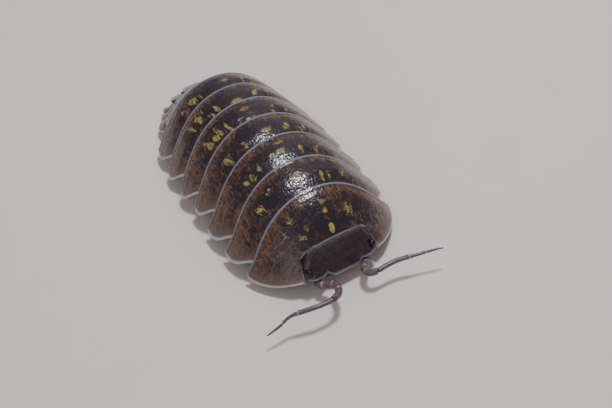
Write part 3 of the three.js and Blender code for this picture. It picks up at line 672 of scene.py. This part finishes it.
def tail_leaf(name, outline, node, drop):
    """The telson or a uropod, hung from the line of the back."""
    top = float(along(BACK_HEIGHT, telson_y)) - drop - LEAF_DROP
    points, faces, share = leaf(outline, LEAF_THICKNESS, LEAF_SLOPE, LEAF_BULGE, telson_y, top, rows=14)
    none = 0 * share
    lateral = LEAF_TONE + LEAF_EDGE_TONE * share
    rim = LEAF_RIM * smoothstep(*LEAF_RIM_SPAN, share)
    values = {"lateral": lateral, "rim": rim, "mark": none, "warm": none, "along": none}
    make_piece(name, points, faces, shell, [node], values)


tail_leaf("telson_plate", TELSON, "telson", 0.0)
tail_leaf("uropod_plate_left", UROPOD, "uropod_left", UROPOD_DROP)
tail_leaf("uropod_plate_right", [(-x, y) for x, y in UROPOD][::-1], "uropod_right", UROPOD_DROP)


# Head

HEAD_HALF = 1.84  # half the width of the dark face
HEAD_COLUMNS, HEAD_ROWS = 121, 40
HEAD_CROWDING = 0.94
FACE_REAR_Y, FACE_REAR_Z = -7.16, 2.14
REAR_ARCH = 0.10  # how far the rear edge falls on its way to the sides
REAR_CORNER_LEAD, REAR_CORNER_LEAD_FROM = 0.15, 1.5  # how far its corners lie to the front, from which x
REAR_CORNER_DROP, REAR_CORNER_SPAN = 0.45, (1.45, 1.86)  # and how far down, over which x
FACE_FRONT_Y, FACE_FRONT_Z = -8.16, 0.88  # where the face would end without its ridge
FACE_BULGE, BULGE_POWER = 0.16, 0.8
CHEEK_BACK, CHEEK_RISE, CHEEK_SPAN = 0.20, 0.12, (0.3, 1.86)  # how the front falls back to the sides
RIDGE_Y, RIDGE_Z = -8.04, 0.98
RIDGE_FROM, RIDGE_POWER = 0.66, 1.4  # share along the face from which it rises, and how suddenly
SHIELD_REACH, SHIELD_DROP = 0.26, 0.20  # of the middle part beyond the ridge's line
SHIELD_CURVE, SHIELD_DROP_CURVE = 0.22, 0.12  # how fast both lessen away from the mid-line
SHIELD_X, SHIELD_EDGE = 0.1, (0.62, 0.98)  # its middle, and where it ends to both sides of that
LOBE_REACH, LOBE_DROP = 0.21, 0.02  # of the parts beside it
LOBE_START, LOBE_END = (0.62, 1.2), (1.45, 1.9)
CHIN_Y, CHIN_Z = -7.86, 0.34
HEAD_RIM_SPAN = (0.93, 0.975)  # shares along the face between which its pale ridge starts
EYE_RADII = [0.19, 0.25, 0.21]
EYE_AT = [1.73, -7.9, 1.31]


def head_surface(u, w):
    """Points of the head's dark face: u from -1 to 1 across, w from 0 at its rear edge to 1 at its front."""
    x = HEAD_HALF * crowded(u, HEAD_CROWDING)
    ax = np.abs(x)
    shield = 1 - smoothstep(*SHIELD_EDGE, np.abs(x - SHIELD_X))
    lobe = smoothstep(*LOBE_START, ax) * (1 - smoothstep(*LOBE_END, ax))
    cheek = smoothstep(*CHEEK_SPAN, ax)
    smooth_y = FACE_FRONT_Y + CHEEK_BACK * cheek
    smooth_z = FACE_FRONT_Z + CHEEK_RISE * cheek
    ridge_y = RIDGE_Y - SHIELD_REACH * shield * (1 - SHIELD_CURVE * ax * ax) - LOBE_REACH * lobe
    ridge_z = RIDGE_Z - SHIELD_DROP * shield * (1 - SHIELD_DROP_CURVE * ax * ax) - LOBE_DROP * lobe
    rear_y = FACE_REAR_Y - REAR_CORNER_LEAD * smoothstep(REAR_CORNER_LEAD_FROM, HEAD_HALF, ax)
    rear_z = FACE_REAR_Z - REAR_ARCH * (ax / HEAD_HALF) ** 2
    rear_z = rear_z - REAR_CORNER_DROP * smoothstep(*REAR_CORNER_SPAN, ax)
    bulge = FACE_BULGE * np.sin(np.pi * np.clip(w, 0, 1)) ** BULGE_POWER
    near = smoothstep(RIDGE_FROM, 1.0, w) ** RIDGE_POWER
    y = rear_y + (smooth_y - rear_y) * w - bulge + (ridge_y - smooth_y) * near
    z = rear_z + (smooth_z - rear_z) * w + bulge + (ridge_z - smooth_z) * near
    return np.stack([x, y, z], -1)


def head_piece():
    """The head as one closed piece: its face, then loops round the ridge, the chin and the back."""
    u, w = np.meshgrid(np.linspace(-1, 1, HEAD_COLUMNS), np.linspace(0, 1, HEAD_ROWS))
    face = head_surface(u, w)
    front, rear = face[-1], face[0]
    x, y, z = front.T
    side = np.abs(x) / HEAD_HALF
    foot_z = CHIN_Z + 0.5 * side ** 3
    loops = [
        front + np.array([0.0, 0.03, -0.06]),  # round the ridge
        np.stack([x, y + 0.16 + 0.05 * side, z - 0.12], 1),  # under it
        np.stack([x, y + 0.25, (z + foot_z) / 2], 1),  # the mouth
        np.stack([x * 0.93, CHIN_Y + 0.2 * side, foot_z], 1),  # the chin
        np.stack([x * 0.9, CHIN_Y + 0.41 + 0.1 * side, foot_z + 0.02], 1),  # the base
        np.stack([rear[:, 0] * 0.97, rear[:, 1] + 0.1, (rear[:, 2] + foot_z) / 2], 1),  # the nape
        rear + np.array([0.0, 0.08, -0.06]),  # under the first plate
    ]
    stack = np.concatenate([face, np.array(loops)])
    rows = len(stack)
    faces = grid_faces(rows, HEAD_COLUMNS, wrap_rows=True)
    faces.append(tuple(r * HEAD_COLUMNS for r in range(rows)))
    faces.append(tuple(r * HEAD_COLUMNS + HEAD_COLUMNS - 1 for r in reversed(range(rows))))
    rim = np.zeros(stack.shape[:2])
    rim[:HEAD_ROWS] = smoothstep(*HEAD_RIM_SPAN, w)
    rim[HEAD_ROWS] = 1.0
    make_piece("head_capsule", stack.reshape(-1, 3), faces, head_shell, ["head"], {"rim": rim})


def eye_piece(side):
    """An ellipsoid half sunk in the side of the head."""
    rows, columns = 24, 32
    around = np.linspace(0, 2 * math.pi, columns, endpoint=False)
    a, b = np.meshgrid(np.linspace(0, math.pi, rows), around, indexing="ij")
    ball = np.stack([np.cos(a), np.sin(a) * np.cos(b), np.sin(a) * np.sin(b)], -1)
    points = ball * np.array(EYE_RADII) + np.array([side * EYE_AT[0], *EYE_AT[1:]])
    faces = grid_faces(rows, columns, wrap_columns=True)
    name = side_name(side)
    make_piece(f"compound_eye_{name}", points.reshape(-1, 3), faces, eye_shell, [f"eye_{name}"])


head_piece()
for side in (-1, 1):
    eye_piece(side)


# Feelers and legs: tubes with a swelling at the end of each article

SWELL, SWELL_BEFORE, SWELL_WIDTH = 0.10, 0.022, 0.016  # as shares of the radius and of the length
NECK, NECK_WIDTH = 0.20, 0.007  # the narrow joint itself
PALE_WIDTH = 0.012
BASE_ROUNDING, TIP_ROUNDING = 0.6, 0.5  # radii at the very ends, as shares
PATH_STEPS = 24  # points worked out between two of a path's own

# Where the articles end, as shares of the length, and radii at such shares
STALK_JOINTS = (0.2, 0.42, 0.66)
STALK_RADII = [(0, 0.20), (0.3, 0.20), (1, 0.165)]
WHIP_JOINTS = (0.5, 0.74)
WHIP_RADII = [(0, 0.13), (0.5, 0.125), (0.56, 0.09), (0.9, 0.06), (1, 0.035)]
LEG_JOINTS = (0.32, 0.5, 0.66, 0.82)
LEG_RADII = [(0, 0.24), (0.3, 0.22), (0.6, 0.17), (0.9, 0.11), (1, 0.09)]

FEELERS = {
    "right": {
        "stalk": [(-1.4, -8.05, 0.62), (-1.43, -8.34, 0.72), (-1.16, -8.66, 0.86), (-0.95, -8.94, 1.0),
                  (-0.98, -9.3, 1.1), (-1.2, -9.68, 1.2), (-1.62, -9.93, 1.29)],
        "whip": [(-1.62, -9.93, 1.29), (-2.2, -9.93, 1.31), (-2.82, -9.83, 1.3), (-3.73, -9.61, 1.2),
                 (-4.39, -9.69, 1.0), (-5.12, -9.71, 0.8)],
    },
    "left": {
        "stalk": [(1.25, -8.0, 0.62), (1.1, -8.3, 0.66), (0.86, -8.62, 0.75), (0.72, -8.95, 0.86),
                  (0.82, -9.25, 0.96), (1.15, -9.38, 1.02)],
        "whip": [(1.15, -9.38, 1.02), (1.7, -9.36, 1.06), (2.33, -9.42, 1.1), (3.19, -9.68, 1.15),
                 (4.03, -9.93, 1.2), (4.39, -10.06, 1.2)],
    },
}

# Each knee's distance out and height from the hip, for the widest part of the body
LEG_KNEES = [(0.0, 0), (0.25, -0.27), (0.62, -0.32), (0.86, -0.34), (1.22, -0.44), (1.44, -0.72),
             (1.56, -1.08), (1.58, -1.2)]
FOOT_OUT, FOOT_DOWN = LEG_KNEES[-1]
WIDEST = 4.2  # half-width of the body that these are for
HIP_OUT = 0.34  # place of the hips, as a share of the half-width
HIP_CLEARANCE = 0.44  # below the belly
HIP_RISE = 0.35  # how far a leg goes on up into the belly
HIP_BACK, FIRST_HIP_BACK = 0.55, 0.95  # place of the hips along their plate, as a share
MIDDLE_PAIR = 3  # index of the pair whose feet stand level with their hips
FAN = 0.16  # how much further back the feet of each pair stand than those of the pair before it
STRIDE = 0.14  # how far the walk moves a foot forwards or back
PAIR_PHASE, SIDE_PHASE = 1.9, 1.3  # of the walk, in radians, for each pair and side
SWING_POWER = 1.3  # above 1, a leg bends back more towards its foot


def jointed(points, joints, radii, count, sides=18, flatten=0.9):
    """A tube with articles that end at the given shares, each slightly swollen before a pale joint."""
    path = smooth_path(points, count)
    share = np.linspace(0, 1, count)
    radius = np.interp(share, [at for at, _ in radii], [r for _, r in radii])
    pale = np.zeros(count)
    for joint in joints:
        swell = SWELL * bell(share, joint - SWELL_BEFORE, SWELL_WIDTH)
        radius = radius * (1 + swell - NECK * bell(share, joint, NECK_WIDTH))
        pale = np.maximum(pale, bell(share, joint, PALE_WIDTH))
    radius[0] *= BASE_ROUNDING
    radius[-1] *= TIP_ROUNDING
    verts, faces = tube(path, radius, sides, flatten)
    return verts, faces, {"pale": np.concatenate([np.repeat(pale, sides), [pale[0], pale[-1]]])}


def leg_piece(k, side):
    """One leg, in its phase of the walk, with its foot flat on the floor."""
    front, rear = margin_y[k], margin_y[k + 1]
    width = float(along(HALF_WIDTH, rear - along(TIP_LEAD, rear)))
    hip_z = float(along(BELLY_HEIGHT, rear)) - HIP_CLEARANCE
    share = FIRST_HIP_BACK if k == 0 else HIP_BACK
    hip_y = float((1 - share) * y_at(front, hip_z) + share * y_at(rear, hip_z))
    swing = FAN * (k - MIDDLE_PAIR) + STRIDE * math.sin(PAIR_PHASE * k + SIDE_PHASE * side)
    points = []
    for out, down in LEG_KNEES:
        x = side * (HIP_OUT * width + width / WIDEST * out)
        points.append([x, hip_y + swing * (out / FOOT_OUT) ** SWING_POWER, hip_z * (1 - down / FOOT_DOWN)])
    points[0][2] = hip_z + HIP_RISE
    verts, faces, values = jointed(points, LEG_JOINTS, LEG_RADII, count=60, sides=14, flatten=1.0)
    verts[:, 2] = np.maximum(verts[:, 2], 0.0)
    name = side_name(side)
    make_piece(f"walking_leg_{k + 1}_{name}", verts, faces, leg_skin, [f"leg_{k + 1}_{name}"], values)


for name, parts in FEELERS.items():
    verts, faces, values = jointed(parts["stalk"], STALK_JOINTS, STALK_RADII, count=90)
    make_piece(f"feeler_stalk_{name}", verts, faces, feeler_skin, [f"antenna_{name}_stalk"], values)
    verts, faces, values = jointed(parts["whip"], WHIP_JOINTS, WHIP_RADII, count=110)
    make_piece(f"feeler_whip_{name}", verts, faces, feeler_skin, [f"antenna_{name}_whip"], values)

for k in range(len(PLATE_LENGTHS)):
    for side in (-1, 1):
        leg_piece(k, side)


# Belly: one soft body under the plates, with a fold between each two segments

BELLY_START_Y, BELLY_END_Y = -7.05, 6.45
BELLY_CLOSING = 0.4  # length over which both of its ends close
BELLY_REACH = 0.62  # how far round the arch it goes
BELLY_DEPTH = 0.5  # how far it lies under the outline
BELLY_SAG = 0.1
BELLY_ROUNDING = 0.45  # below 1, its underside is flatter
BELLY_TIP = 0.02  # size of its two ends, as a share
FOLD_AHEAD, FOLD_WIDTH, FOLD_RISE = 0.25, 0.07, 0.1


def belly_piece():
    """The belly: rows of points over the arch and back along the underside."""
    rows, over, under = 170, 41, 21
    y = np.linspace(BELLY_START_Y, BELLY_END_Y, rows)
    t = np.linspace(-BELLY_REACH, BELLY_REACH, over)
    fold = np.zeros(rows)
    for margin in margin_y[1:] + tail_y[1:]:
        fold = np.maximum(fold, bell(y, margin - FOLD_AHEAD, FOLD_WIDTH))
    upper = arch(y[:, None], t[None, :], BELLY_DEPTH)
    share = np.linspace(0, 1, under + 2)[1:-1]
    start, end = upper[:, -1], upper[:, 0]
    lower = start[:, None, :] * (1 - share[None, :, None]) + end[:, None, :] * share[None, :, None]
    bottom = along(BELLY_HEIGHT, y) - BELLY_SAG + FOLD_RISE * fold
    lower[..., 2] += (bottom - start[:, 2])[:, None] * (np.sin(np.pi * share) ** BELLY_ROUNDING)[None, :]
    points = np.concatenate([upper, lower], axis=1)
    middle = points.mean(1, keepdims=True)
    front_end = np.clip((y - BELLY_START_Y) / BELLY_CLOSING, 0, 1)
    rear_end = np.clip((BELLY_END_Y - y) / BELLY_CLOSING, 0, 1)
    size = np.clip(np.sqrt(front_end * rear_end), BELLY_TIP, 1)
    points = middle + (points - middle) * size[:, None, None]
    columns = over + under
    faces = grid_faces(rows, columns, wrap_columns=True)
    faces.append(tuple(range(columns))[::-1])
    faces.append(tuple(range((rows - 1) * columns, rows * columns)))
    values = {"pale": np.repeat(fold, columns)}
    make_piece("belly", points.reshape(-1, 3), faces, belly_skin, values=values)


belly_piece()


# Gill covers: five overlapping flaps a side under the tail

FLAP = [(0.14, 0.0), (0.6, -0.08), (1.12, 0.02), (1.16, 0.28), (0.84, 0.46), (0.4, 0.48), (0.14, 0.34)]
FLAP_COUNT = 5
FLAPS_Y, FLAP_PITCH = 4.75, 0.22
FLAPS_DROP = 0.5  # below the belly's line
FLAP_THICKNESS, FLAP_SLOPE, FLAP_BULGE = 0.06, 0.28, 0.03
FLAP_PALE, FLAP_EDGE_PALE, FLAP_EDGE_SPAN = 0.2, 0.6, (0.8, 1.0)  # its middle, and how much more its edge


def gill_piece(side):
    """The flaps of one side as one piece."""
    outline = [(side * x, y) for x, y in FLAP][::side]
    points, faces, shares, start = [], [], [], 0
    for k in range(FLAP_COUNT):
        y0 = FLAPS_Y + FLAP_PITCH * k
        z0 = float(along(BELLY_HEIGHT, y0)) - FLAPS_DROP
        flap_points, flap_faces, share = leaf(outline, FLAP_THICKNESS, FLAP_SLOPE, FLAP_BULGE, y0, z0, rows=6)
        points.append(flap_points)
        faces += [tuple(v + start for v in face) for face in flap_faces]
        shares.append(share)
        start += len(flap_points)
    pale = FLAP_PALE + FLAP_EDGE_PALE * smoothstep(*FLAP_EDGE_SPAN, np.concatenate(shares))
    name = side_name(side)
    make_piece(f"gill_flaps_{name}", np.concatenate(points), faces, belly_skin,
               [f"pleopods_{name}"], {"pale": pale})


for side in (-1, 1):
    gill_piece(side)


# Camera, floor and light

AZIMUTH, ELEVATION, ROLL = (math.radians(a) for a in (-25.43, 46.68, -7.01))
DISTANCE = 129.89
PIXELS_PER_MM = 20.251  # at the body's origin
IMAGE_WIDTH, IMAGE_HEIGHT, SENSOR = 612, 408, 36.0
CENTRE_PIXEL = (260.14, 177.46)  # where the body's origin is seen
CLIP_START, FLOOR_HALF = 0.005, 2.0  # metres
FLOOR_DARK, FLOOR_PALE = rgb(0.72, 0.69, 0.66), rgb(0.76, 0.73, 0.70)
SKY, SKY_STRENGTH = rgb(0.95, 0.87, 0.85), 0.35


def place_camera():
    """A camera that looks at the body's origin, turned, rolled and shifted as the photograph's."""
    back = np.array([math.sin(AZIMUTH) * math.cos(ELEVATION), -math.cos(AZIMUTH) * math.cos(ELEVATION),
                     math.sin(ELEVATION)])
    right = np.array([math.cos(AZIMUTH), math.sin(AZIMUTH), 0.0])
    upward = np.cross(back, right)
    rolled_right = math.cos(ROLL) * right + math.sin(ROLL) * upward
    rolled_up = -math.sin(ROLL) * right + math.cos(ROLL) * upward
    aim = (rolled_right * (IMAGE_WIDTH / 2 - CENTRE_PIXEL[0])
           - rolled_up * (IMAGE_HEIGHT / 2 - CENTRE_PIXEL[1])) / PIXELS_PER_MM
    data = bpy.data.cameras.new("camera")
    data.sensor_width = SENSOR
    data.lens = PIXELS_PER_MM * DISTANCE * SENSOR / IMAGE_WIDTH
    data.clip_start = CLIP_START
    camera = bpy.data.objects.new("camera", data)
    bpy.context.scene.collection.objects.link(camera)
    place = (aim + back * DISTANCE + OFFSET) * MM
    turn = Matrix([rolled_right, rolled_up, back]).transposed().to_4x4()
    camera.matrix_world = Matrix.Translation(Vector(place)) @ turn
    bpy.context.scene.camera = camera


def floor_piece():
    """A plain pale floor, which isn't part of the animal."""
    a = FLOOR_HALF
    mesh = bpy.data.meshes.new("floor")
    mesh.from_pydata([(-a, -a, 0), (a, -a, 0), (a, a, 0), (-a, a, 0)], [], [(0, 1, 2, 3)])
    material, tree, shader = node_tree("floor_paint")
    s = Shade(tree)
    s.link(s.mix(s.noise(s.even, scale=0.3, detail=2.0), FLOOR_DARK, FLOOR_PALE), shader.inputs["Base Color"])
    shader.inputs["Roughness"].default_value = 0.85
    mesh.materials.append(material)
    floor = bpy.data.objects.new("floor", mesh)
    bpy.context.scene.collection.objects.link(floor)


def area_light(name, direction, distance, size, power, colour):
    """A round lamp that shines on the origin, with its distance and size in millimetres."""
    data = bpy.data.lights.new(name, "AREA")
    data.shape = "DISK"
    data.size = size * MM
    data.energy = power
    data.color = colour
    light = bpy.data.objects.new(name, data)
    direction = Vector(direction).normalized()
    light.location = direction * distance * MM
    light.rotation_euler = direction.to_track_quat("Z", "Y").to_euler()
    bpy.context.scene.collection.objects.link(light)


def light_sky():
    """An even sky."""
    world = bpy.data.worlds.new("world")
    world.use_nodes = True
    background = world.node_tree.nodes["Background"]
    background.inputs["Color"].default_value = SKY
    background.inputs["Strength"].default_value = SKY_STRENGTH
    bpy.context.scene.world = world


place_camera()
floor_piece()
area_light("key", (0.26, 0.06, 1.0), distance=90, size=16, power=0.058, colour=(0.97, 0.98, 1.0))
area_light("fill", (-0.9, -0.9, 0.7), distance=120, size=120, power=0.030, colour=(1.0, 0.94, 0.91))
area_light("back", (0.8, 0.9, 0.8), distance=120, size=110, power=0.012, colour=(1.0, 0.96, 0.94))
light_sky()
